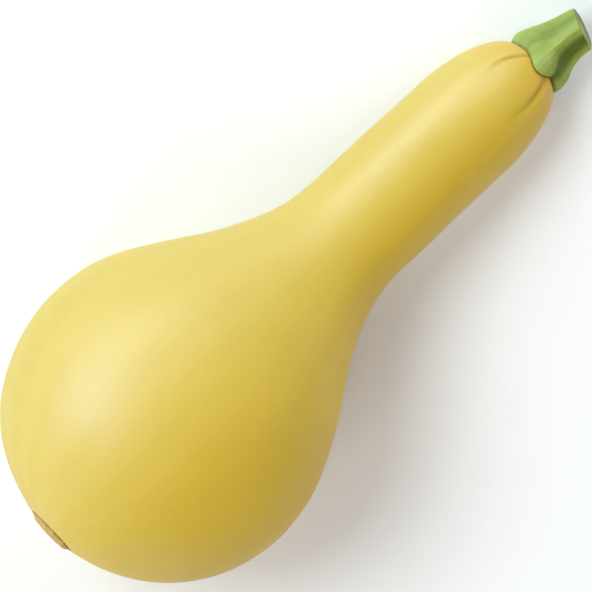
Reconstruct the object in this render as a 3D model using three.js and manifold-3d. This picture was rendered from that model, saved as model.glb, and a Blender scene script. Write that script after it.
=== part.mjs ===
// A straightneck summer squash as picked, lying on its side: one yellow fruit and its cut green stem.
// Millimetres, +Z up. The pieces are shaped along the fruit's own axis, +X, from the blossom end at x = 0
// to the stem seat. The whole is then tipped until bulb and neck end both touch the ground, z = 0, and
// moved so that the ground point under the middle of its box is the origin.
import * as THREE from 'three';
import { mergeVertices } from 'three/addons/utils/BufferGeometryUtils.js';
import Module from 'manifold-3d';

// Fruit: lengths run along its axis
const FRUIT_LENGTH = 166; // blossom end to stem seat
const BULB_DIAMETER = 80;
const BULB_CENTRE = 40; // blossom end to the fullest section
const NECK_START = 105; // blossom end to where the bulb has run out into the neck
const NECK_DIAMETER = 30.5;
const SHOULDER_LENGTH = 22; // the rounding of the neck end, back from the stem seat
const SHOULDER_DIAMETER = 30;
const SEAT_DIAMETER = 13; // flat end under the stem
const SCAR_DIAMETER = 12.5; // blossom-end scar, a corky button in a crease
const SCAR_RISE = 0.6; // how far the button stands out of the blossom end
const SCAR_CREASE = 0.5; // how deep the crease round it is
const SCAR_SLOPE = 13.7; // degrees that the skin round the scar slopes back
const SIDE_BOW = 1.7; // how far the middle of the axis leans to +Y from a line through its ends
const BULB_PRESS = 1; // how far the bulb flattens where it rests
const NECK_PRESS = 0.4; // and the neck end

// How full the outline's curves are: a handle's share of its own span, 0.55 for a quarter ellipse
const BLOSSOM_FULLNESS = 0.92; // of the rise from the scar to the bulb
const BULB_BLUNTNESS = 0.2;
const BULB_FULLNESS = 0.4;
const NECK_FULLNESS = 0.38;
const SHOULDER_EASE = 0.37;
const SHOULDER_ROUND = 0.7;

// Furrows pressed into the shoulder, running down from the stem
const FURROW_ANGLES = [27, 98, 176, 254, 326]; // degrees about the axis, from the top towards +Y
const FURROW_DEPTH = 0.6;
const FURROW_WIDTH = 3;
const FURROW_LENGTH = 18;

// Stem: lengths run along its own centre line, from the seat
const STEM_LENGTH = 16;
const STEM_OFFSET = 0.9; // how far its seat lies to -Y of the fruit's axis
const STEM_FOOT_DIAMETER = 15.2; // mean, between toes and notches
const STEM_SHAFT_DIAMETER = 12.7;
const STEM_TIP_DIAMETER = 10.6;
const STEM_FLARE_LENGTH = 8.5;
const STEM_RIDGES = 5;
const STEM_RIDGE_ANGLE = -6; // the ridge on top, degrees towards +Y at the foot
const STEM_TWIST = 14; // degrees that the ridges turn towards +Y over the top by the tip
const FOOT_BULGE = 1.2; // how far the foot swells above the seat, as a share of its radius
const FOOT_RIDGE = 0.13; // ridge height at the foot, as a share of the radius
const TIP_RIDGE = 0.08;
const TOP_TOE_REACH = 2.8; // how much further the toe on top reaches out than the others
const TOP_TOE_SPREAD = 26; // degrees to each side that it narrows within
const STEM_RISE = 24; // degrees that the tip bends up from the fruit's axis
const STEM_SIDE_TURN = 14; // degrees that it bends towards -Y
const STEM_CUT_SLANT = 3; // degrees that the cut end leans back at its top
const STEM_CUT_SKEW = 7; // degrees that it leans back on its -Y side
const STEM_CLEARANCE = 0.3; // between the stem's foot and the skin

// Facets
const FRUIT_SIDES = 60;
const STEM_SIDES = 40;
const FRUIT_CURVE_STEPS = 11; // rings to each curve of its outline
const STEM_CURVE_STEPS = 6;

const radians = THREE.MathUtils.degToRad;

const wasm = await Module();
wasm.setup();

// A geometry with its shared points merged, holding positions and faces only.
function welded(geometry) {
  for (const name of ['normal', 'uv']) geometry.deleteAttribute(name);
  return mergeVertices(geometry, 1e-4);
}

function toSolid(geometry) {
  const mesh = new wasm.Mesh({
    numProp: 3,
    vertProperties: new Float32Array(geometry.attributes.position.array),
    triVerts: new Uint32Array(geometry.index.array),
  });
  return new wasm.Manifold(mesh);
}

function fromSolid(solid) {
  const mesh = solid.getMesh();
  const geometry = new THREE.BufferGeometry();
  geometry.setAttribute('position', new THREE.BufferAttribute(mesh.vertProperties, 3));
  geometry.setIndex(new THREE.BufferAttribute(mesh.triVerts, 1));
  return geometry;
}

// Moves every point of a geometry by a function that changes the vector it is given.
function movePoints(geometry, move) {
  const points = geometry.attributes.position;
  const point = new THREE.Vector3();
  for (let i = 0; i < points.count; i += 1) {
    point.fromBufferAttribute(points, i);
    move(point, i);
    points.setXYZ(i, point.x, point.y, point.z);
  }
}

// The fruit's outline, as (radius, distance along the axis) from the scar to the stem seat.
function fruitOutline() {
  const scar = SCAR_DIAMETER / 2;
  const bulb = BULB_DIAMETER / 2;
  const neck = NECK_DIAMETER / 2;
  const shoulder = SHOULDER_DIAMETER / 2;
  const seat = SEAT_DIAMETER / 2;
  const shoulderStart = FRUIT_LENGTH - SHOULDER_LENGTH;
  const bulbReach = BULB_FULLNESS * (NECK_START - BULB_CENTRE);
  const neckReach = NECK_FULLNESS * (shoulderStart - NECK_START);
  const blossomRise = BLOSSOM_FULLNESS * (bulb - scar);
  const shoulderRise = SHOULDER_ROUND * (shoulder - seat);

  const path = new THREE.Path();
  path.moveTo(0, -SCAR_RISE);
  path.lineTo(0.7 * scar, -SCAR_RISE);
  path.lineTo(0.9 * scar, SCAR_CREASE);
  path.lineTo(scar, 0);
  path.bezierCurveTo(
    scar + blossomRise, blossomRise * Math.tan(radians(SCAR_SLOPE)),
    bulb, BULB_CENTRE - BULB_BLUNTNESS * BULB_CENTRE,
    bulb, BULB_CENTRE,
  );
  path.bezierCurveTo(bulb, BULB_CENTRE + bulbReach, neck, NECK_START - bulbReach, neck, NECK_START);
  path.bezierCurveTo(
    neck, NECK_START + neckReach,
    shoulder, shoulderStart - neckReach,
    shoulder, shoulderStart,
  );
  path.bezierCurveTo(
    shoulder, shoulderStart + SHOULDER_EASE * SHOULDER_LENGTH,
    seat + shoulderRise, FRUIT_LENGTH,
    seat, FRUIT_LENGTH,
  );
  path.lineTo(0, FRUIT_LENGTH);
  return path.getPoints(FRUIT_CURVE_STEPS);
}

// How far the stem's points reach down from the axis, as the outline's (radius, distance along the axis),
// with the room that the stem keeps to the ground once the neck is pressed on it.
function stemReach(stem) {
  const points = stem.attributes.position;
  const reach = [];
  for (let i = 0; i < points.count; i += 1) {
    const down = NECK_PRESS + STEM_CLEARANCE - points.getZ(i);
    if (points.getX(i) > FRUIT_LENGTH) reach.push(new THREE.Vector2(down, points.getX(i)));
  }
  return reach;
}

// The straight line under the waist that touches the bulb and the neck end. Walking the convex hull of
// the points from the fullest ring towards the stem, it is the longest step.
function restingLine(points) {
  const slope = (from, to) => (to.x - from.x) / (to.y - from.y);
  const steeper = (from) => (best, point) => (slope(from, point) > slope(from, best) ? point : best);
  let from = points.find((point) => point.y >= BULB_CENTRE);
  const ahead = (here) => points.filter((point) => point.y > here.y);
  let beyond = ahead(from);
  let longest = { length: 0 };
  while (beyond.length) {
    const to = beyond.reduce(steeper(from));
    const length = from.distanceTo(to);
    if (length > longest.length) longest = { from, to, length };
    from = to;
    beyond = ahead(from);
  }
  return longest;
}

// How the fruit lies: its axis tips down by angle, and its blossom end is lifted by height.
function restingPose(outline, stem) {
  const { from, to, length } = restingLine([...outline, ...stemReach(stem)]);
  const angle = Math.atan2(from.x - to.x, to.y - from.y) - (BULB_PRESS - NECK_PRESS) / length;
  const height = from.y * Math.sin(angle) + from.x * Math.cos(angle) - BULB_PRESS;
  return { angle, height };
}

// Angle about the axis, from the top towards +Y, in radians.
const angleAbout = (point) => Math.atan2(point.y, point.z);

const angleBetween = (a, b) => Math.abs(Math.atan2(Math.sin(a - b), Math.cos(a - b)));

// How deep the furrows are at a point of the plain skin.
function furrowDepth(point) {
  const start = FRUIT_LENGTH - FURROW_LENGTH;
  const fade = THREE.MathUtils.smoothstep(point.x, start, FRUIT_LENGTH);
  const radius = Math.hypot(point.y, point.z);
  const about = angleAbout(point);
  const apart = Math.min(...FURROW_ANGLES.map((angle) => angleBetween(about, radians(angle))));
  const across = (2 * apart * radius) / FURROW_WIDTH;
  return FURROW_DEPTH * fade * Math.exp(-across * across);
}

// How far the axis leans to +Y at a distance from the blossom end.
function bowAt(x) {
  const share = x / FRUIT_LENGTH;
  return 4 * SIDE_BOW * share * (1 - share);
}

// Flattens the skin that would reach below the ground once the fruit lies down.
function pressOnGround(point, pose) {
  const { angle, height } = pose;
  const above = height - point.x * Math.sin(angle) + point.z * Math.cos(angle);
  if (above < 0) {
    point.x += above * Math.sin(angle);
    point.z -= above * Math.cos(angle);
  }
}

// The fruit's skin, or with swell a copy that stands that far outside it.
function fruitGeometry(outline, pose, swell) {
  const lathe = new THREE.LatheGeometry(outline, FRUIT_SIDES);
  const geometry = welded(lathe.rotateZ(-Math.PI / 2));
  movePoints(geometry, (point) => {
    const radius = Math.hypot(point.y, point.z);
    const shrink = radius > 0 ? 1 - furrowDepth(point) / radius : 1;
    point.y = point.y * shrink + bowAt(point.x);
    point.z *= shrink;
    pressOnGround(point, pose);
  });
  geometry.computeVertexNormals();
  const normals = geometry.attributes.normal;
  const normal = new THREE.Vector3();
  movePoints(geometry, (point, i) => {
    point.addScaledVector(normal.fromBufferAttribute(normals, i), swell);
  });
  geometry.deleteAttribute('normal');
  return geometry;
}

// The stem's outline, as (radius, distance from the seat). It starts inside the fruit, which cuts its foot.
function stemOutline() {
  const foot = STEM_FOOT_DIAMETER / 2;
  const shaft = STEM_SHAFT_DIAMETER / 2;
  const tip = STEM_TIP_DIAMETER / 2;
  const rooted = -SHOULDER_LENGTH / 3;
  const path = new THREE.Path();
  path.moveTo(0, rooted);
  path.lineTo(foot, rooted);
  path.lineTo(foot, 0);
  path.bezierCurveTo(
    FOOT_BULGE * foot, STEM_FLARE_LENGTH / 2,
    shaft, STEM_FLARE_LENGTH / 2,
    shaft, STEM_FLARE_LENGTH,
  );
  path.bezierCurveTo(
    shaft, (2 * STEM_FLARE_LENGTH + STEM_LENGTH) / 3,
    tip, (STEM_FLARE_LENGTH + 2 * STEM_LENGTH) / 3,
    tip, STEM_LENGTH,
  );
  path.lineTo(0, STEM_LENGTH);
  return path.getPoints(STEM_CURVE_STEPS);
}

// How much the toe on top adds to the stem's radius, as a share of it.
function topToe(point, about) {
  const radius = Math.hypot(point.y, point.z);
  const across = about / radians(TOP_TOE_SPREAD);
  const fade = THREE.MathUtils.smoothstep(point.x, -SHOULDER_LENGTH / 6, STEM_LENGTH / 3);
  return radius > 0 ? (TOP_TOE_REACH * (1 - fade) * Math.exp(-across * across)) / radius : 0;
}

// Ridges along the stem, and the slant of its cut end, on the straight stem standing on x = 0.
function ridgeStem(point) {
  const along = THREE.MathUtils.clamp(point.x / STEM_LENGTH, 0, 1);
  const height = THREE.MathUtils.lerp(FOOT_RIDGE, TIP_RIDGE, along);
  const about = angleAbout(point) - radians(STEM_RIDGE_ANGLE + STEM_TWIST * along);
  const swell = 1 + height * Math.cos(STEM_RIDGES * about) + topToe(point, about);
  point.y *= swell;
  point.z *= swell;
  const slant = point.z * Math.tan(radians(STEM_CUT_SLANT)) - point.y * Math.tan(radians(STEM_CUT_SKEW));
  point.x -= along * slant;
}

// Bends the straight stem up and aside, on an arc that starts along the fruit's axis at the seat.
function bendStem(point) {
  const aside = new THREE.Vector3(0, -STEM_SIDE_TURN, STEM_RISE);
  const turn = radians(aside.length());
  const along = THREE.MathUtils.clamp(point.x / STEM_LENGTH, 0, 1);
  aside.normalize();
  const radius = STEM_LENGTH / turn;
  const outward = point.z * aside.z + point.y * aside.y;
  const past = point.x - along * STEM_LENGTH;
  const bent = turn * along;
  const shift = (radius - outward) * Math.cos(bent);
  const x = (radius - outward) * Math.sin(bent) + past * Math.cos(bent);
  const off = radius - shift + past * Math.sin(bent) - outward;
  point.set(x, point.y + off * aside.y, point.z + off * aside.z);
}

// The stem where it grows, still whole inside the neck end.
function rootedStem() {
  const geometry = welded(new THREE.LatheGeometry(stemOutline(), STEM_SIDES).rotateZ(-Math.PI / 2));
  movePoints(geometry, (point) => {
    ridgeStem(point);
    bendStem(point);
    point.x += FRUIT_LENGTH;
    point.y += bowAt(FRUIT_LENGTH) - STEM_OFFSET;
  });
  return geometry;
}

// The stem with its foot cut to the skin that it stands on.
function stemGeometry(stem, outline, pose) {
  const skin = toSolid(fruitGeometry(outline, pose, STEM_CLEARANCE));
  return fromSolid(toSolid(stem).subtract(skin));
}

function named(name, geometry, color, roughness) {
  const material = new THREE.MeshStandardMaterial({ color, roughness, metalness: 0 });
  const mesh = new THREE.Mesh(geometry, material);
  mesh.name = name;
  return mesh;
}

const outline = fruitOutline();
const stem = rootedStem();
const pose = restingPose(outline, stem);

const lying = new THREE.Group();
lying.add(named('fruit', fruitGeometry(outline, pose, 0), '#e2c44f', 0.38));
lying.add(named('stem', stemGeometry(stem, outline, pose), '#9db563', 0.6));
lying.rotation.y = pose.angle;
lying.position.z = pose.height;

const squash = new THREE.Group();
squash.add(lying);
const middle = new THREE.Box3().setFromObject(squash, true).getCenter(new THREE.Vector3());
lying.position.x -= middle.x;
lying.position.y -= middle.y;

export default squash;
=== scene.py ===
# A straightneck summer squash lying on a pale studio floor: the yellow fruit and its cut green stem.
# Metres, +Z up, +X along the squash towards the stem. Each piece is modelled straight along the fruit's own
# axis, with the blossom end at zero, and is then laid down into the space that the frame holds for it.
import math

import bpy
import numpy as np
from mathutils import Matrix, Vector
from mathutils.geometry import interpolate_bezier


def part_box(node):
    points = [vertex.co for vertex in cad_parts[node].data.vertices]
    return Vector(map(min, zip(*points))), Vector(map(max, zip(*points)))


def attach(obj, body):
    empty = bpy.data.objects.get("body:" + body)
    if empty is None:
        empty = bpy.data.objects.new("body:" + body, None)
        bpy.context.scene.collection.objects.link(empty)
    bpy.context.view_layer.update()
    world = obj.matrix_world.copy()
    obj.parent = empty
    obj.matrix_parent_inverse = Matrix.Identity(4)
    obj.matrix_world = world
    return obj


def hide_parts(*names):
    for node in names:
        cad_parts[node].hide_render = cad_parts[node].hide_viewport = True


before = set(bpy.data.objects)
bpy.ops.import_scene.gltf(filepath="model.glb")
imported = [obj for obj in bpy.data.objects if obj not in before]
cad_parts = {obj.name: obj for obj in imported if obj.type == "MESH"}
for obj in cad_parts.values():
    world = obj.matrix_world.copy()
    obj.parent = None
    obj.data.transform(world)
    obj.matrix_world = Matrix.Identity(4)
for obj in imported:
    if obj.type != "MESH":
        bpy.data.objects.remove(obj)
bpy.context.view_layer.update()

MM = 0.001

fruit_low, fruit_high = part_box("fruit")

# ---- The fruit's sizes along its own axis, from the blossom end

FRUIT_LENGTH = 166 * MM
BULB_CENTRE = 40 * MM
NECK_START = 105 * MM
SHOULDER_START = 144 * MM
BULB_RADIUS = (fruit_high.y - fruit_low.y) / 2
NECK_RADIUS = 15.25 * MM
SHOULDER_RADIUS = 15.25 * MM
SEAT_RADIUS = 6.5 * MM
SCAR_RADIUS = 6.8 * MM
SCAR_SLOPE = math.tan(math.radians(13.7))  # the skin round the scar slopes back this much
BLOSSOM_FULLNESS = 0.92  # handle lengths as shares of their spans, 0.55 for a quarter ellipse
BULB_BLUNTNESS = 0.2
BULB_FULLNESS = 0.4
NECK_FULLNESS = 0.38
SHOULDER_EASE = 0.37
SHOULDER_ROUND = 0.67
SIDE_BOW = 1.7 * MM  # the axis leans this far to +Y at mid length
LEAN = math.radians(13.03)  # the axis tips down this much towards the stem
BULB_PRESS = 1 * MM  # the skin flattens this much under the bulb
FRUIT_SIDES = 64
SOFT_LUMPS = (28 * MM, 0.6 * MM)  # size and height of the skin's unevenness
FINE_LUMPS = (7 * MM, 0.1 * MM)

# The blossom scar: a corky button in a crease, as (share of its radius, depth in millimetres)
SCAR_RINGS = [
    (0.06, -0.95), (0.25, -0.92), (0.45, -0.84), (0.6, -0.7), (0.71, -0.52), (0.8, -0.25), (0.87, 0.1),
    (0.92, 0.4), (0.955, 0.28), (0.985, 0.06),
]
SCAR_TILT = math.tan(math.radians(5))  # the scar sits askew: its lower side lies back by this slope
SCAR_TILT_RADII = (8 * MM, 27 * MM)  # where the skin round the scar starts and stops following its tilt
SCAR_OFFSET = 0.75 * MM  # the blossom end leans this far to +Y
SCAR_OFFSET_REACH = (4 * MM, 24 * MM)  # distances where the skin starts and stops following that

# Furrows down from the stem: angles from the top towards +Y at the stem, a third of the way and at the end,
# then length, depth and half-width
FURROWS = [
    ((5, 21, 18), 15, 0.4, 0.6),
    ((92, 99, 97), 16, 0.45, 0.6),
    ((173, 170, 178), 20, 0.4, 0.6),
    ((249, 256, 252), 15, 0.5, 0.6),
    ((-28, -32, -24), 20, 0.5, 0.85),
]

# ---- The stem's sizes along its own centre line, from the seat

STEM_LENGTH = 16 * MM
STEM_OFFSET = -0.9 * MM  # its seat lies this far off the fruit's axis in Y
STEM_RISE = 24  # degrees that its tip bends up
STEM_SIDE_TURN = 14  # degrees that it bends towards -Y
STEM_RIDGES = 5
STEM_RIDGE_ANGLE = math.radians(-6)
STEM_TWIST = math.radians(14)  # from foot to tip, towards +Y over the top
STEM_CUT_SLANT = math.tan(math.radians(1))  # the cut leans back at its top
STEM_CUT_SKEW = math.tan(math.radians(7))  # and on its -Y side
# How much further the foot reaches out round some angles, as (angle from the top towards +Y, width of the
# spread, reach in millimetres): the toe on top, the notch beside it and the toe on the -Y side
FOOT_REACHES = [(-6, 26, 2.2), (30, 20, 0.9), (-78, 20, -0.6)]
STEM_SIDES = 60
STEM_LUMPS = (3 * MM, 0.25 * MM)

# Rings from the root under the skin to the rim of the cut, as (distance, mean radius), in millimetres
STEM_RINGS = [
    (-1.0, 3.0), (-1.0, 5.6), (-0.8, 6.9), (-0.35, 7.4), (0.2, 7.8), (0.9, 8.15), (1.8, 8.4), (2.8, 8.45),
    (4.0, 8.25), (5.3, 7.7), (6.6, 7.1), (8.0, 6.55), (9.5, 6.15), (11.0, 5.85), (12.5, 5.65), (13.8, 5.55),
    (14.9, 5.48), (15.5, 5.44), (15.9, 5.36),
]
# The cut face's rings, as (distance, share of the rim's radius)
CUT_RINGS = [(16.05, 0.96), (16.0, 0.9), (15.8, 0.8), (15.75, 0.62), (15.8, 0.42), (15.7, 0.24), (15.6, 0.08)]


def bezier_rings(start, start_handle, end_handle, end, steps):
    """Points along one curve of an outline, without its start."""
    knots = [Vector((*point, 0)) for point in (start, start_handle, end_handle, end)]
    return [(point.x, point.y) for point in interpolate_bezier(*knots, steps + 1)[1:]]


def fruit_outline():
    """The fruit's side from the scar's rim to the stem seat, as (distance, radius)."""
    bulb_reach = BULB_FULLNESS * (NECK_START - BULB_CENTRE)
    neck_reach = NECK_FULLNESS * (SHOULDER_START - NECK_START)
    shoulder = FRUIT_LENGTH - SHOULDER_START
    blossom_reach = BLOSSOM_FULLNESS * (BULB_RADIUS - SCAR_RADIUS)
    rim = (0, SCAR_RADIUS)
    fullest = (BULB_CENTRE, BULB_RADIUS)
    neck = (NECK_START, NECK_RADIUS)
    rounding = (SHOULDER_START, SHOULDER_RADIUS)
    seat = (FRUIT_LENGTH, SEAT_RADIUS)
    rings = bezier_rings(
        rim,
        (SCAR_SLOPE * blossom_reach, SCAR_RADIUS + blossom_reach),
        (BULB_CENTRE * (1 - BULB_BLUNTNESS), BULB_RADIUS),
        fullest,
        15,
    )
    rings += bezier_rings(
        fullest, (BULB_CENTRE + bulb_reach, BULB_RADIUS), (NECK_START - bulb_reach, NECK_RADIUS), neck, 16
    )
    rings += bezier_rings(
        neck,
        (NECK_START + neck_reach, NECK_RADIUS),
        (SHOULDER_START - neck_reach, SHOULDER_RADIUS),
        rounding,
        14,
    )
    rings += bezier_rings(
        rounding,
        (SHOULDER_START + SHOULDER_EASE * shoulder, SHOULDER_RADIUS),
        (FRUIT_LENGTH, SEAT_RADIUS + SHOULDER_ROUND * (SHOULDER_RADIUS - SEAT_RADIUS)),
        seat,
        22,
    )
    return rings


OUTLINE = fruit_outline()
SCAR = [(depth * MM, share * SCAR_RADIUS) for share, depth in SCAR_RINGS]


# ---- Modelling helpers


def ring_stack(name, sides, rings):
    """A closed body extruded ring by ring along +X. Each ring is (distance, radius)."""
    bpy.ops.object.select_all(action="DESELECT")
    distance, radius = rings[0]
    bpy.ops.mesh.primitive_circle_add(
        vertices=sides, radius=radius, fill_type="NGON", location=(distance, 0, 0), rotation=(0, math.pi / 2, 0)
    )
    piece = bpy.context.object
    piece.name = name
    piece.data.name = name
    bpy.ops.object.transform_apply(location=True, rotation=True, scale=True)
    bpy.ops.object.mode_set(mode="EDIT")
    for next_distance, next_radius in rings[1:]:
        bpy.ops.mesh.extrude_region_move(
            TRANSFORM_OT_translate={"value": (next_distance - distance, 0, 0)}
        )
        grow = next_radius / radius
        bpy.ops.transform.resize(value=(1, grow, grow), center_override=(next_distance, 0, 0))
        distance, radius = next_distance, next_radius
    bpy.ops.mesh.select_all(action="SELECT")
    bpy.ops.mesh.normals_make_consistent(inside=False)
    bpy.ops.object.mode_set(mode="OBJECT")
    return piece


def subdivided(piece, levels):
    """Adds and applies a Subdivision Surface."""
    modifier = piece.modifiers.new("Subdivision", "SUBSURF")
    modifier.levels = modifier.render_levels = levels
    bpy.context.view_layer.objects.active = piece
    bpy.ops.object.modifier_apply(modifier=modifier.name)


def displaced(piece, size, height):
    """Adds and applies a gentle unevenness: soft lumps of that size, up to half the height in and out."""
    texture = bpy.data.textures.new("unevenness", "CLOUDS")
    texture.noise_scale = size
    texture.noise_depth = 1
    modifier = piece.modifiers.new("Unevenness", "DISPLACE")
    modifier.texture = texture
    modifier.texture_coords = "LOCAL"
    modifier.strength = height
    modifier.mid_level = 0.5
    bpy.context.view_layer.objects.active = piece
    bpy.ops.object.modifier_apply(modifier=modifier.name)


def points_of(piece):
    """The piece's points as an array of rows x, y, z."""
    points = np.empty(len(piece.data.vertices) * 3)
    piece.data.vertices.foreach_get("co", points)
    return points.reshape(-1, 3)


def set_points(piece, points):
    piece.data.vertices.foreach_set("co", points.ravel())
    piece.data.update()


def set_attribute(piece, name, values, kind="FLOAT", field="value"):
    """Stores a value for each point, for the material to read."""
    attribute = piece.data.attributes.new(name, kind, "POINT")
    attribute.data.foreach_set(field, np.ascontiguousarray(values, dtype=np.float32).ravel())


def smooth_step(values, low, high):
    share = np.clip((values - low) / (high - low), 0, 1)
    return share * share * (3 - 2 * share)


def angle_and_radius(points):
    """Angle about the axis, from the top towards +Y, and distance from the axis."""
    return np.arctan2(points[:, 1], points[:, 2]), np.hypot(points[:, 1], points[:, 2])


def bow_at(distance):
    share = distance / FRUIT_LENGTH
    return 4 * SIDE_BOW * share * (1 - share)


def lying_matrix():
    """Turns and moves a piece from the fruit's own axis to where the frame has it."""
    sine, cosine = math.sin(LEAN), math.cos(LEAN)
    blossom_end = min(distance * cosine - radius * sine for distance, radius in SCAR + OUTLINE)
    underside = min(-distance * sine - radius * cosine for distance, radius in OUTLINE)
    place = Vector((
        fruit_low.x - blossom_end,
        (fruit_low.y + fruit_high.y) / 2 - bow_at(BULB_CENTRE),
        -underside - BULB_PRESS,
    ))
    return Matrix.Translation(place) @ Matrix.Rotation(LEAN, 4, "Y")


def laid_down(points):
    matrix = np.array(lying_matrix())
    return points @ matrix[:3, :3].T + matrix[:3, 3]


# ---- The fruit


def furrow_angle(furrow_angles, length, back):
    """The furrow's angle at a distance back from the seat: a smooth curve through its three angles."""
    at_stem, at_third, at_end = (math.radians(angle) for angle in furrow_angles)
    share = np.clip(back / length, 0, 1)
    third = 1 / 3
    return (
        at_stem * (share - third) * (share - 1) / third
        + at_third * share * (share - 1) / (third * (third - 1))
        + at_end * share * (share - third) / (1 - third)
    )


def press_furrows(points):
    """Presses the furrows and the shallow valleys round them into the shoulder. Returns how deep each point is
    in a furrow, from 0 to 1."""
    angle, radius = angle_and_radius(points)
    back = FRUIT_LENGTH - points[:, 0]
    inward = np.zeros(len(points))
    crease = np.zeros(len(points))
    for angles, length, depth, half_width in FURROWS:
        length, depth, half_width = length * MM, depth * MM, half_width * MM
        apart = angle - furrow_angle(angles, length, back)
        across = np.abs(np.arctan2(np.sin(apart), np.cos(apart))) * radius
        share = np.clip(back / length, 0, 1)
        strength = (0.55 + 0.45 * smooth_step(share, 0, 0.35)) * (1 - smooth_step(share, 0.3, 1))
        groove = strength * np.exp(-(across / half_width) ** 2)
        lips = strength * np.exp(-((across - 2.6 * half_width) / (1.6 * half_width)) ** 2)
        valley = (1 - smooth_step(back, 0, 2.4 * length)) * np.exp(-(across / (7 * half_width)) ** 2)
        inward += depth * (groove - 0.18 * lips + 0.9 * valley)
        crease = np.maximum(crease, groove)
    inward *= smooth_step(radius, 1 * MM, 5 * MM)
    shrink = 1 - inward / np.maximum(radius, 1e-9)
    points[:, 1:] *= shrink[:, None]
    return crease


def roughen_scar(points):
    """Makes the corky button uneven, most at its edge."""
    angle, radius = angle_and_radius(points)
    edge = np.exp(-((radius / SCAR_RADIUS - 0.72) / 0.16) ** 2) * (points[:, 0] < 1 * MM)
    ragged = 0.11 * np.sin(9 * angle + 1.2) + 0.09 * np.sin(16 * angle + 0.4) + 0.07 * np.sin(27 * angle + 2.5)
    points[:, 0] += edge * ragged * MM


def set_askew(points):
    """Tilts the scar and sets it aside, and the skin round it less and less."""
    following = 1 - smooth_step(np.hypot(points[:, 1], points[:, 2]), *SCAR_TILT_RADII)
    following *= 1 - smooth_step(points[:, 0], BULB_CENTRE / 2, BULB_CENTRE)
    points[:, 0] -= SCAR_TILT * following * points[:, 2]
    points[:, 1] += SCAR_OFFSET * (1 - smooth_step(points[:, 0], *SCAR_OFFSET_REACH))


def rest_on_floor(points):
    """Flattens what would reach below the floor, with a soft edge to the flat."""
    softness = 0.25 * MM
    points[:, 2] = (points[:, 2] + np.sqrt(points[:, 2] ** 2 + softness ** 2)) / 2


def make_fruit():
    seat = [(FRUIT_LENGTH, share * SEAT_RADIUS) for share in (0.6, 0.2)]
    fruit = ring_stack("squash_fruit", FRUIT_SIDES, SCAR + OUTLINE + seat)
    subdivided(fruit, 2)
    points = points_of(fruit)
    angle, radius = angle_and_radius(points)
    own = np.column_stack([points[:, 0], np.cos(angle), np.sin(angle)])
    set_attribute(fruit, "grain", own, "FLOAT_VECTOR", "vector")
    set_attribute(fruit, "crease", press_furrows(points))
    roughen_scar(points)
    set_askew(points)
    set_points(fruit, points)
    displaced(fruit, *SOFT_LUMPS)
    displaced(fruit, *FINE_LUMPS)
    points = points_of(fruit)
    points[:, 1] += bow_at(points[:, 0])
    points = laid_down(points)
    rest_on_floor(points)
    set_points(fruit, points)
    return fruit


# ---- The stem


def skin_drop(radius):
    """How far below the seat the shoulder's skin lies at a distance from the axis."""
    shoulder = [(r, FRUIT_LENGTH - d) for d, r in OUTLINE if d >= SHOULDER_START]
    shoulder.sort()
    radii, drops = zip(*shoulder)
    return np.interp(radius, radii, drops)


def ridge_wave(angle, footing):
    """From -1 in the valleys to 1 on the ridges: sharp ridges on the shaft, round toes at the foot."""
    phase = STEM_RIDGES * (angle - STEM_RIDGE_ANGLE) / 2
    shaft = 1 - 2 * np.sqrt(np.sin(phase) ** 2 + 0.01)
    toes = 2 * np.sqrt(np.cos(phase) ** 2 + 0.01) - 1
    return shaft * (1 - footing) + toes * footing


def stem_twist(distance):
    return STEM_TWIST * np.clip(distance / STEM_LENGTH, 0, 1)


def stem_footing(distance):
    """1 at the foot, falling to 0 where the shaft begins."""
    return 1 - smooth_step(distance, 0.5 * MM, 7.5 * MM)


def shape_stem(points):
    """Gives the straight round stem its ridges, toes, slanted cut and bend, and seats it on the shoulder."""
    distance = points[:, 0].copy()
    angle, radius = angle_and_radius(points)
    along = np.clip(distance / STEM_LENGTH, 0, 1)
    footing = stem_footing(distance)
    wave = ridge_wave(angle - stem_twist(distance), footing)
    height = 0.11 * (1 - 0.3 * along) - 0.02 * footing
    height = height * (1 + 0.15 * np.cos(angle + 0.3) + 0.1 * np.cos(2 * angle - 0.8))
    striations = 0.006 * np.sin(31 * angle + 2 * np.sin(3 * angle)) + 0.004 * np.sin(47 * angle + 1.3)
    reach = sum(
        out * MM * np.exp(-((angle - math.radians(centre)) / math.radians(spread)) ** 2)
        for centre, spread, out in FOOT_REACHES
    )
    reach *= (1 - smooth_step(distance, 0.3 * MM, 6.5 * MM)) * smooth_step(radius, 3 * MM, 7.5 * MM)
    swell = 1 + height * wave + striations * (1 - 0.6 * footing) + reach / np.maximum(radius, 1 * MM)
    y = points[:, 1] * swell
    z = points[:, 2] * swell
    x = distance - along * (z * STEM_CUT_SLANT - y * STEM_CUT_SKEW)
    x, y, z = bent(x, y, z)
    y = y + STEM_OFFSET
    hug = 1 - smooth_step(distance, 0.5 * MM, 6 * MM)
    x = FRUIT_LENGTH + x - hug * skin_drop(np.hypot(y, z))
    return np.column_stack([x, y + bow_at(FRUIT_LENGTH), z])


def bent(x, y, z):
    """Bends the stem up and aside on an arc that starts along the fruit's axis."""
    aside = Vector((-STEM_SIDE_TURN, STEM_RISE))
    turn = math.radians(aside.length)
    aside.normalize()
    arc = STEM_LENGTH / turn
    outward = y * aside.x + z * aside.y
    share = np.clip(x / STEM_LENGTH, 0, 1)
    past = x - share * STEM_LENGTH
    angle = turn * share
    bent_x = (arc - outward) * np.sin(angle) + past * np.cos(angle)
    shift = arc - (arc - outward) * np.cos(angle) + past * np.sin(angle) - outward
    return bent_x, y + shift * aside.x, z + shift * aside.y


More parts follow.
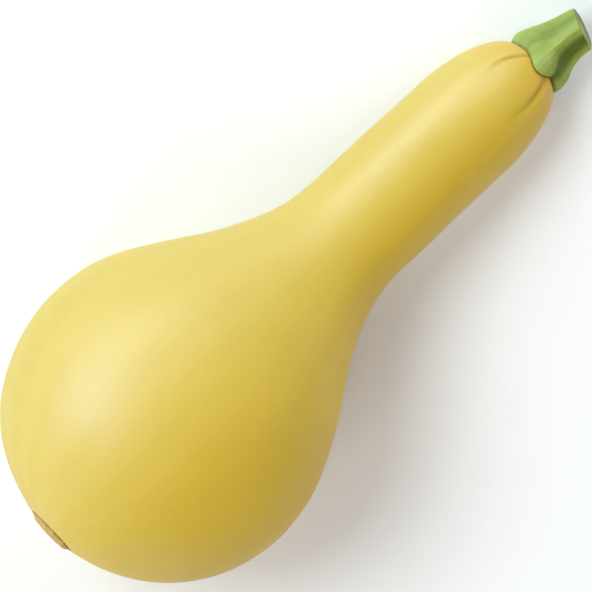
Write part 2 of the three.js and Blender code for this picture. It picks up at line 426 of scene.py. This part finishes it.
def make_stem():
    rings = [(distance * MM, radius * MM) for distance, radius in STEM_RINGS]
    rim = rings[-1][1]
    rings += [(distance * MM, share * rim) for distance, share in CUT_RINGS]
    stem = ring_stack("squash_stem", STEM_SIDES, rings)
    subdivided(stem, 2)
    points = points_of(stem)
    angle, radius = angle_and_radius(points)
    own = np.column_stack([points[:, 0], np.cos(angle), np.sin(angle)])
    set_attribute(stem, "grain", own, "FLOAT_VECTOR", "vector")
    distance = points[:, 0]
    set_attribute(stem, "ridge", ridge_wave(angle - stem_twist(distance), stem_footing(distance)))
    cut = smooth_step(distance, 15.4 * MM, 15.6 * MM) * (1 - smooth_step(radius / rim, 0.93, 1.0))
    set_attribute(stem, "cut", cut)
    set_attribute(stem, "cut_radius", radius / rim)
    set_points(stem, shape_stem(points))
    displaced(stem, *STEM_LUMPS)
    set_points(stem, laid_down(points_of(stem)))
    return stem


# ---- Materials

# Base colours, as pairs of the darker and the lighter where they vary
LEMON_SKIN = (0.59, 0.446, 0.068), (0.63, 0.484, 0.088)
# painted shade: the deeper golden goes on the -Y side, away from the key light, as the warm tint of shade
GOLDEN_SHADE_SIDE_SKIN = (0.65, 0.436, 0.024), (0.69, 0.474, 0.036)
BLOSSOM_SKIN = (0.61, 0.495, 0.14)
STEM_END_SKIN = (0.66, 0.38, 0.03)
# painted shade: darker brown along the bottoms of the furrows
FURROW_SHADE_SKIN = (0.42, 0.26, 0.006)
SCAR_TAN = (0.42, 0.24, 0.045), (0.70, 0.46, 0.11)
# a darker brown ring round the scar, partly the scar's own rim and partly painted shade on the inner wall of
# its lip
SCAR_RIM_SHADE_BROWN = (0.19, 0.095, 0.015)
STEM_GREEN = (0.21, 0.29, 0.03), (0.335, 0.42, 0.085)
# painted highlight: lighter green along the stem's ridges
RIDGE_HIGHLIGHT_GREEN = (0.42, 0.53, 0.14)
# painted shade: darker green down the valleys between the ridges
VALLEY_SHADE_GREEN = (0.10, 0.16, 0.015)
# painted shade: darkest green in the valleys on the -Y side, the flank away from the key light
SHADE_SIDE_GREEN = (0.06, 0.10, 0.005)  # in the valleys on the -Y side
FOOT_TAN = (0.28, 0.20, 0.05)
PITH_GREEN = (0.26, 0.34, 0.10)
CUT_RIM_GREEN = (0.15, 0.22, 0.04)
CUT_SPECKLE = (0.26, 0.27, 0.10)
FLOOR_WHITE = (0.875, 0.89, 0.90), (0.895, 0.91, 0.92)
BLACK = (0.0, 0.0, 0.0)


class Wire:
    """A node's output. Arithmetic on it adds Math nodes."""

    def __init__(self, graph, socket):
        self.graph = graph
        self.socket = socket

    def _math(self, operation, *operands):
        inputs = dict(enumerate(operands))
        return self.graph.node("ShaderNodeMath", {"operation": operation}, inputs)

    def __add__(self, other):
        return self._math("ADD", self, other)

    def __radd__(self, other):
        return self._math("ADD", other, self)

    def __sub__(self, other):
        return self._math("SUBTRACT", self, other)

    def __rsub__(self, other):
        return self._math("SUBTRACT", other, self)

    def __mul__(self, other):
        return self._math("MULTIPLY", self, other)

    def __rmul__(self, other):
        return self._math("MULTIPLY", other, self)


class Graph:
    """A material's node tree, with its Principled shader."""

    def __init__(self, name, constants):
        self.material = bpy.data.materials.new(name)
        self.material.use_nodes = True
        self.tree = self.material.node_tree
        self.shader = self.tree.nodes["Principled BSDF"]
        for socket, value in constants.items():
            self.shader.inputs[socket].default_value = value

    def node(self, kind, settings, inputs, output=0):
        """Adds a node: its settings first, then the values or wires of its sockets."""
        made = self.tree.nodes.new(kind)
        for name, value in settings.items():
            setattr(made, name, value)
        for name, value in inputs.items():
            self._set(made.inputs[name], value)
        return Wire(self, made.outputs[output])

    def _set(self, socket, value):
        if isinstance(value, Wire):
            self.tree.links.new(value.socket, socket)
        elif isinstance(value, tuple) and len(value) == 3 and socket.type == "RGBA":
            socket.default_value = (*value, 1)
        else:
            socket.default_value = value

    def feed(self, name, value):
        """Links a wire to one of the shader's own sockets."""
        self._set(self.shader.inputs[name], value)

    def attribute(self, name, output="Fac"):
        return self.node("ShaderNodeAttribute", {"attribute_name": name}, {}, output)

    def part(self, vector, axis):
        return self.node("ShaderNodeSeparateXYZ", {}, {"Vector": vector}, axis)

    def stretched(self, vector, scale):
        return self.node("ShaderNodeMapping", {}, {"Vector": vector, "Scale": scale})

    def noise(self, vector, scale, detail=2.0, roughness=0.5):
        inputs = {"Vector": vector, "Scale": scale, "Detail": detail, "Roughness": roughness}
        return self.node("ShaderNodeTexNoise", {}, inputs)

    def between(self, value, low, high):
        """0 below low, 1 above high and smooth between; low may be the larger."""
        inputs = {"Value": value, "From Min": low, "From Max": high}
        return self.node("ShaderNodeMapRange", {"interpolation_type": "SMOOTHSTEP"}, inputs)

    def mix(self, factor, first, second):
        """From the first colour to the second."""
        return self.node("ShaderNodeMix", {"data_type": "RGBA"}, {0: factor, 6: first, 7: second}, 2)

    def bump(self, height, distance, strength=1.0, normal=None):
        inputs = {"Height": height, "Distance": distance, "Strength": strength}
        if normal is not None:
            inputs["Normal"] = normal
        return self.node("ShaderNodeBump", {}, inputs)


def skin_material():
    graph = Graph("squash_skin", {
        "IOR": 1.5,
        "Subsurface Weight": 0.15,
        "Subsurface Radius": (1.0, 0.5, 0.12),
        "Subsurface Scale": 0.004,
    })
    place = graph.node("ShaderNodeTexCoord", {}, {}, "Object")
    grain = graph.attribute("grain", "Vector")
    crease = graph.attribute("crease")
    along = graph.part(grain, "X")
    up, left = graph.part(grain, "Y"), graph.part(grain, "Z")

    streaks = graph.noise(graph.stretched(grain, (9, 5, 5)), 1.0, 3.0)
    fine_streaks = graph.noise(graph.stretched(grain, (25, 22, 22)), 1.0, 2.0)
    mottle = graph.noise(place, 38.0, 3.0)
    tone = 0.5 + (streaks - 0.5) * 0.9 + (fine_streaks - 0.5) * 0.35 + (mottle - 0.5) * 0.9
    lemon = graph.mix(graph.between(tone, 0.0, 1.0), *LEMON_SKIN)
    golden_shade_side = graph.mix(graph.between(tone, 0.0, 1.0), *GOLDEN_SHADE_SIDE_SKIN)
    # painted shade: the skin turns deeper golden towards the -Y side, away from the key light
    color = graph.mix(graph.between(up * 0.2 + left * 0.9, 0.9, -0.9), lemon, golden_shade_side)

    blossom_end = graph.between(along, 26 * MM, 2 * MM)
    bands = graph.between(streaks, 0.35, 0.65)
    color = graph.mix(blossom_end * (0.1 + bands * 0.25), color, BLOSSOM_SKIN)
    stem_end = graph.between(along, 152 * MM, 166 * MM)
    color = graph.mix(stem_end * 0.42, color, STEM_END_SKIN)
    # painted shade darkens the skin down the furrow grooves
    color = graph.mix(crease * 0.75, color, FURROW_SHADE_SKIN)

    radial = graph.node(
        "ShaderNodeVectorMath", {"operation": "DISTANCE"}, {0: place, 1: scar_centre()}, "Value"
    )
    scar = graph.between(radial, SCAR_RADIUS * 1.02, SCAR_RADIUS * 0.94)
    # darker brown ring on the lip's inner wall: partly the scar's rim, partly painted shade in its recess
    scar_rim_shade = scar * graph.between(radial, SCAR_RADIUS * 0.80, SCAR_RADIUS * 0.92)
    scar_grain = graph.noise(place, 900.0, 4.0, 0.65)
    scar_color = graph.mix(scar_grain, *SCAR_TAN)
    scar_color = graph.mix(scar_rim_shade, scar_color, SCAR_RIM_SHADE_BROWN)
    color = graph.mix(scar, color, scar_color)
    graph.feed("Base Color", color)

    roughness = 0.55 - graph.between(along, 95 * MM, 130 * MM) * 0.08
    roughness = roughness + (mottle - 0.5) * 0.08 + scar * 0.3 + crease * 0.3
    graph.feed("Roughness", roughness)

    pores = graph.noise(place, 1400.0, 2.0)
    ripple = graph.noise(place, 160.0, 2.0)
    skin_bump = graph.bump(ripple, 0.00012, 0.6)
    skin_bump = graph.bump(pores, 0.00003, 0.5, skin_bump)
    skin_bump = graph.bump(scar_grain * scar, 0.0006, 0.8, skin_bump)
    graph.feed("Normal", skin_bump)
    return graph.material


def scar_centre():
    return tuple(lying_matrix() @ Vector((0.4 * MM, SCAR_OFFSET, 0)))


def stem_material():
    graph = Graph("squash_stem_green", {
        "IOR": 1.35,
        "Subsurface Weight": 0.1,
        "Subsurface Radius": (0.4, 0.8, 0.15),
        "Subsurface Scale": 0.002,
    })
    place = graph.node("ShaderNodeTexCoord", {}, {}, "Object")
    grain = graph.attribute("grain", "Vector")
    ridge = graph.attribute("ridge")
    cut = graph.attribute("cut")
    cut_radius = graph.attribute("cut_radius")
    along, left = graph.part(grain, "X"), graph.part(grain, "Z")
    valley = graph.between(ridge, 0.3, -0.8)

    fibres = graph.noise(graph.stretched(grain, (40, 16, 16)), 1.0, 3.0)
    patches = graph.noise(place, 260.0, 3.0)
    tone = 0.5 + (fibres - 0.5) * 0.4 + (patches - 0.5) * 0.8
    color = graph.mix(graph.between(tone, 0.1, 0.9), *STEM_GREEN)
    # painted highlight: lighter green on the ridges
    color = graph.mix(graph.between(ridge, 0.2, 1.0) * 0.5, color, RIDGE_HIGHLIGHT_GREEN)
    # painted shade: darker green in the valleys
    color = graph.mix(graph.between(ridge, -0.3, -1.0) * 0.35, color, VALLEY_SHADE_GREEN)
    # painted shade: darkest green in the valleys on the -Y side, away from the key light
    color = graph.mix(valley * graph.between(left, -0.1, -0.45) * 0.75, color, SHADE_SIDE_GREEN)
    foot = graph.between(along, 0.9 * MM, -0.3 * MM)
    color = graph.mix(foot * 0.7, color, FOOT_TAN)

    rings = graph.noise(place, 900.0, 3.0)
    pith = graph.mix(graph.between(cut_radius, 0.2, 0.75), PITH_GREEN, CUT_RIM_GREEN)
    pith = graph.mix(graph.between(rings, 0.45, 0.75) * 0.5, pith, CUT_SPECKLE)
    color = graph.mix(cut, color, pith)
    graph.feed("Base Color", color)
    graph.feed("Roughness", 0.55 + (patches - 0.5) * 0.1)

    lines = graph.noise(graph.stretched(grain, (60, 45, 45)), 1.0, 2.0)
    bump = graph.bump(lines * (1 - cut), 0.00025, 0.6)
    bump = graph.bump(rings, 0.00012, 0.5, bump)
    graph.feed("Normal", bump)
    return graph.material


def floor_material():
    """Pale, and glowing far from the squash so that the floor stays pale out to the horizon."""
    graph = Graph("studio_floor", {"Roughness": 0.7, "Specular IOR Level": 0.2, "Emission Strength": 1.0})
    place = graph.node("ShaderNodeTexCoord", {}, {}, "Object")
    grain = graph.noise(place, 3.0, 2.0)
    graph.feed("Base Color", graph.mix(grain, *FLOOR_WHITE))
    away = graph.node("ShaderNodeVectorMath", {"operation": "LENGTH"}, {0: place}, "Value")
    graph.feed("Emission Color", graph.mix(graph.between(away, *GLOW_RADII), BLACK, SURROUNDINGS))
    return graph.material


# ---- The studio

FLOOR_SIZE = 14
SURROUNDINGS = (0.78, 0.78, 0.78)
GLOW_RADII = (0.4, 1.8)  # where the floor's own glow starts and where it is full

CAMERA_PLACE = (-8.3 * MM, -1.4 * MM, 1038 * MM)
CAMERA_TURN = math.radians(-44.5)
CAMERA_LENS = 253.4
CAMERA_SENSOR = 36

LIGHT_AIM = Vector((0, 0, 30 * MM))
LIGHT_DISTANCE = 0.9
COOL = (0.93, 1.0, 1.0)
WARM = (1.0, 0.945, 0.945)
SHEEN = (0.42, 0.58, 1.0)
# Name, azimuth in degrees from +X towards +Y, elevation, size, power, colour, and what it shows in
SOFT_LIGHTS = [
    ("key_softbox", 122, 60, 0.5, 4.9, COOL, "color"),
    ("key_sheen", 121, 37, 0.62, 17.0, SHEEN, "sheen"),
    ("side_softbox", 80, 35, 0.5, 1.7, COOL, "color"),
    ("side_sheen", 72, 30, 0.6, 8.0, SHEEN, "sheen"),
    ("neck_sheen", 35, 30, 0.6, 3.8, SHEEN, "sheen"),
    ("left_low_softbox", 135, 12, 0.5, 2.4, COOL, "color"),
    ("right_low_softbox", 30, 12, 0.5, 3.7, COOL, "color"),
    ("blossom_fill", 205, 45, 0.6, 3.6, WARM, "color"),
    ("stem_fill", 340, 35, 0.6, 3.0, WARM, "color"),
]


def make_floor():
    bpy.ops.object.select_all(action="DESELECT")
    bpy.ops.mesh.primitive_plane_add(size=FLOOR_SIZE, location=(0, 0, 0))
    floor = bpy.context.object
    floor.name = "studio_floor"
    floor.data.materials.append(floor_material())


def add_soft_light(name, azimuth, elevation, size, power, color, shows):
    """A round softbox aimed at the squash. It shows either in the colour of things or in the sheen on them."""
    light = bpy.data.lights.new(name, "AREA")
    light.shape = "DISK"
    light.size = size
    light.energy = power
    light.color = color
    azimuth, elevation = math.radians(azimuth), math.radians(elevation)
    level = math.cos(elevation)
    towards = Vector((math.cos(azimuth) * level, math.sin(azimuth) * level, math.sin(elevation)))
    lamp = bpy.data.objects.new(name, light)
    lamp.location = LIGHT_AIM + LIGHT_DISTANCE * towards
    lamp.rotation_euler = towards.to_track_quat("Z", "Y").to_euler()
    lamp.visible_camera = False
    lamp.visible_glossy = shows == "sheen"
    lamp.visible_diffuse = shows == "color"
    bpy.context.scene.collection.objects.link(lamp)


def make_lights():
    for settings in SOFT_LIGHTS:
        add_soft_light(*settings)


def make_surroundings():
    """A pale backdrop that lights nothing."""
    world = bpy.data.worlds.new("studio_air")
    bpy.context.scene.world = world
    world.use_nodes = True
    world.node_tree.nodes["Background"].inputs["Color"].default_value = (*SURROUNDINGS, 1)
    world.cycles_visibility.diffuse = False
    world.cycles_visibility.glossy = False


def make_camera():
    """Looks straight down, turned so that the squash runs from lower left to upper right."""
    camera = bpy.data.cameras.new("camera")
    camera.sensor_width = CAMERA_SENSOR
    camera.lens = CAMERA_LENS
    camera.clip_end = 100
    body = bpy.data.objects.new("camera", camera)
    body.location = CAMERA_PLACE
    body.rotation_euler = (0, 0, CAMERA_TURN)
    bpy.context.scene.collection.objects.link(body)
    bpy.context.scene.camera = body
    bpy.context.scene.view_settings.view_transform = "Standard"


# ---- Building the scene

make_camera()
make_floor()
make_lights()
make_surroundings()

fruit = make_fruit()
fruit.data.materials.append(skin_material())
stem = make_stem()
stem.data.materials.append(stem_material())

for piece, node, finish in ((fruit, "fruit", "fruit_skin"), (stem, "stem", "stem_green")):
    bpy.ops.object.select_all(action="DESELECT")
    piece.select_set(True)
    bpy.context.view_layer.objects.active = piece
    bpy.ops.object.shade_smooth()
    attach(piece, "root")
    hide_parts(node)
